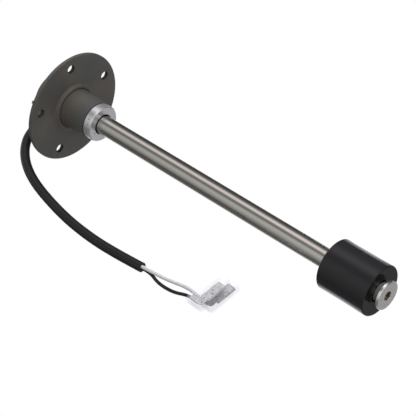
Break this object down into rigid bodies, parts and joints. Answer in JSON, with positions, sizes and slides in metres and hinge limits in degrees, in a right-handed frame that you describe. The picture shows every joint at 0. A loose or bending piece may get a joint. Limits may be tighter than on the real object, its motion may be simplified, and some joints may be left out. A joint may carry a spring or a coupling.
{
  "type": "fuel level sender",
  "caption": "Tube fuel level sender: flanged plastic head with a side cable, steel tube with a sliding magnetic float, and a two-lead cable with covered push-on terminals.",
  "frame": {"origin": "centre of the flange's mounting face, which lies on the tank", "axes": "+Z out of the tank towards the head, tube along -Z, +X towards the cable outlet"},
  "size_m": [0.098, 0.068, 0.2533],
  "materials": {
    "housing": "dark warm grey glass-filled plastic, satin",
    "aluminium": "turned, light grey",
    "steel": "satin stainless steel, turned",
    "rubber": "black rubber, matte",
    "float_foam": "near-black closed-cell foam with a satin skin",
    "magnet": "dark ferrite, matte",
    "board": "green laminate",
    "reed_glass": "clear glass capsule",
    "resistor": "black ceramic chip",
    "cable_black": "black sheath, matte",
    "lead_white": "white insulation, satin",
    "tinned_metal": "tin plate on folded sheet",
    "clear_cover": "clear soft plastic"
  },
  "bodies": {
    "sender": {"flange_body": "housing", "head_lid": "housing", "collar": "aluminium", "tube_seal": "rubber", "tube": "steel", "end_plug": "steel", "circuit_board": "board", "board_bush_upper": "rubber", "board_bush_lower": "rubber", "cable_gland": "rubber", "cable_jacket": "cable_black", "lead_black": "cable_black", "lead_white": "lead_white", "inner_lead_black": "cable_black", "inner_lead_white": "lead_white", "terminal_black": "tinned_metal", "terminal_white": "tinned_metal", "terminal_cover_black": "clear_cover", "terminal_cover_white": "clear_cover", "reed_switch_1": "reed_glass", "reed_switch_2": "reed_glass", "reed_switch_3": "reed_glass", "reed_switch_4": "reed_glass", "reed_switch_5": "reed_glass", "reed_switch_6": "reed_glass", "reed_switch_7": "reed_glass", "reed_switch_8": "reed_glass", "reed_switch_9": "reed_glass", "resistor_1": "resistor", "resistor_2": "resistor", "resistor_3": "resistor", "resistor_4": "resistor", "resistor_5": "resistor", "resistor_6": "resistor", "resistor_7": "resistor", "resistor_8": "resistor", "resistor_9": "resistor"},
    "float": {"float_body": "float_foam", "float_magnet": "magnet"}
  },
  "joints": [
    {"name": "float_slide", "type": "slide", "parent": "sender", "child": "float", "axis": [0, 0, 1], "range_m": [-0.003, 0.1747]}
  ]
}
